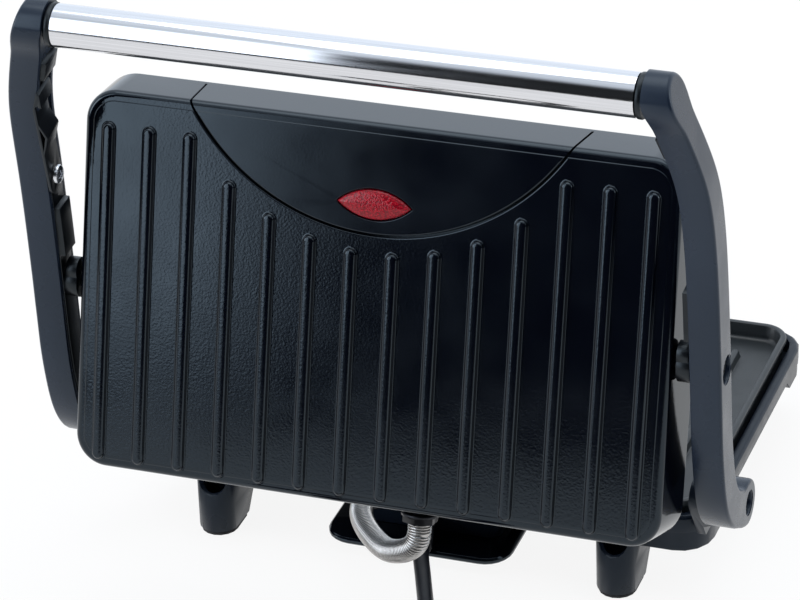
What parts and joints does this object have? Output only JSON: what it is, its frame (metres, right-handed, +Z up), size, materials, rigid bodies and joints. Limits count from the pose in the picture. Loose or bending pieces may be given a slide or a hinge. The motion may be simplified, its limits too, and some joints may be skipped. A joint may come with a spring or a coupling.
{
  "type": "contact grill",
  "caption": "Countertop contact grill with a ribbed lid carried by two upright arms and a bar handle, shown open from behind, with its cord.",
  "frame": {"origin": "on the surface the grill stands on, under the middle of its bounding box without the cord", "axes": "+X to the left of someone who stands behind it, +Y towards its back, +Z up"},
  "size_m": [0.2916, 0.3596, 0.2716],
  "materials": {
    "casing": "satin dark slate moulded plastic",
    "lid_gloss": "gloss black with a fine orange-peel texture",
    "black_plastic": "matte black moulded plastic",
    "plate": "dark grey non-stick coating on cast aluminium",
    "bar": "polished",
    "steel": "plain sheet and rod",
    "hose": "wound steel conduit",
    "lens": "clear red with fine prisms",
    "lamp": "small neon lamp",
    "cord": "black rubber sheath",
    "rubber": "soft black foot pads"
  },
  "bodies": {
    "base": {"base_housing": "casing", "wiring_block_cover": "lid_gloss", "terminal_block": "black_plastic", "rear_foot_pad_left": "rubber", "rear_foot_pad_right": "rubber", "front_foot_pad_left": "rubber", "front_foot_pad_right": "rubber", "lower_cooking_plate": "plate", "lower_heating_element": "steel", "lower_heat_shield": "steel", "lower_thermostat": "black_plastic", "hinge_screw_left": "steel", "hinge_screw_right": "steel", "wire_conduit": "hose", "conduit_fitting_base": "steel", "cord_strain_relief": "cord", "power_cord": "cord", "power_cord_coil": "cord", "power_cord_tail": "cord", "cord_tie": "black_plastic", "power_plug": "cord"},
    "handle": {"arm_left": "casing", "arm_right": "casing", "arm_liner_left": "black_plastic", "arm_liner_right": "black_plastic", "lid_pivot_screw_left": "black_plastic", "lid_pivot_screw_right": "black_plastic", "handle_bar": "bar", "bar_collar_left": "black_plastic", "bar_collar_right": "black_plastic", "handle_rod": "steel", "latch_screw": "steel"},
    "latch": {"latch_lever": "black_plastic"},
    "lid": {"lid_housing": "lid_gloss", "lid_front_panel": "lid_gloss", "indicator_lens": "lens", "lamp_holder": "black_plastic", "indicator_lamp": "lamp", "pivot_bush_left": "black_plastic", "pivot_bush_right": "black_plastic", "upper_cooking_plate": "plate", "upper_heating_element": "steel", "upper_heat_shield": "steel", "upper_thermostat": "black_plastic", "conduit_fitting_lid": "steel"}
  },
  "joints": [
    {"name": "handle_hinge", "type": "hinge", "parent": "base", "child": "handle", "pos_m": [0, 0.052, 0.053], "axis": [1, 0, 0], "range_deg": [0, 102.5], "deforming": ["wire_conduit"]},
    {"name": "lid_hinge", "type": "hinge", "parent": "handle", "child": "lid", "pos_m": [0, 0.0865, 0.1345], "axis": [1, 0, 0], "range_deg": [-27.3, 0]},
    {"name": "latch_hinge", "type": "hinge", "parent": "handle", "child": "latch", "pos_m": [0.1327, 0.095, 0.187], "axis": [1, 0, 0], "range_deg": [0, 90]}
  ],
  "couplings": [
    {"joint": "lid_hinge", "follows": "handle_hinge", "ratio": -0.26537}
  ]
}
